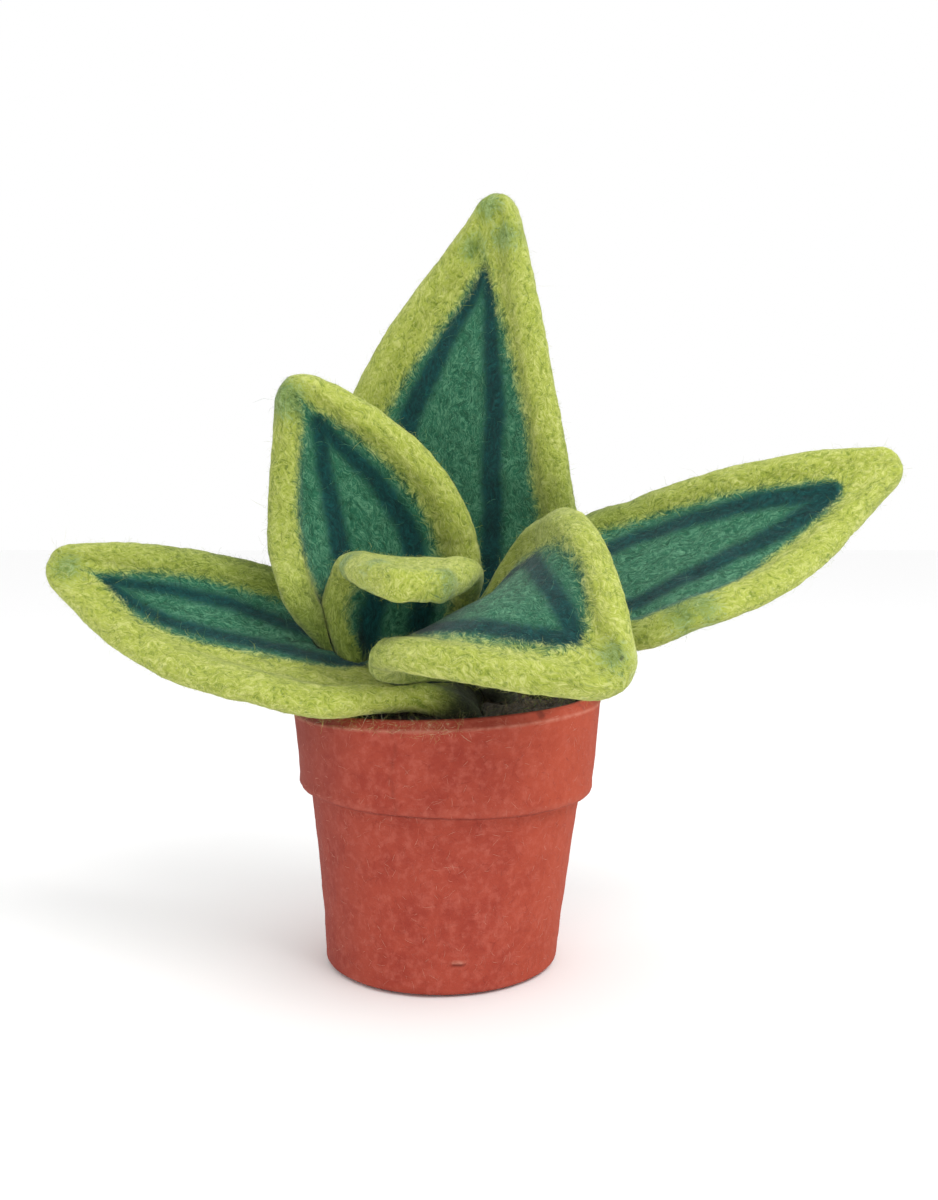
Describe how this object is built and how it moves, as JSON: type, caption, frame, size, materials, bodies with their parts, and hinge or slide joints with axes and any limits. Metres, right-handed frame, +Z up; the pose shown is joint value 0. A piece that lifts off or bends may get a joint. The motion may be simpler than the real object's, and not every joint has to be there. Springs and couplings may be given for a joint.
{
  "type": "felt potted succulent",
  "caption": "Needle-felted wool plant: broad pointed leaves with yellow-green edges and dark stripes, rising and arching from dark felt soil in a small red-brown paper pot.",
  "frame": {"origin": "centre of the flat underside of the pot, on the surface that it stands on", "axes": "+Z up; +X along the two long side leaves, towards the leaf on the right; -Y is the front, the way the open leaves face"},
  "size_m": [0.2111, 0.1022, 0.1923],
  "materials": {
    "pot_paper": "matte handmade paper moulded as a pot, brick red, with long paler fibres",
    "soil_felt": "dark charcoal-brown felted wool, very matt and fuzzy",
    "leaf_felt": "needle-felted wool: yellow-green margins, mid-green fields and dark teal stripes"
  },
  "bodies": {
    "root": {"pot": "pot_paper", "soil": "soil_felt", "leaf_tall_back": "leaf_felt", "leaf_upright_left": "leaf_felt", "leaf_low_left": "leaf_felt", "leaf_right": "leaf_felt", "leaf_front_right": "leaf_felt", "leaf_inner_curled": "leaf_felt"}
  },
  "joints": []
}
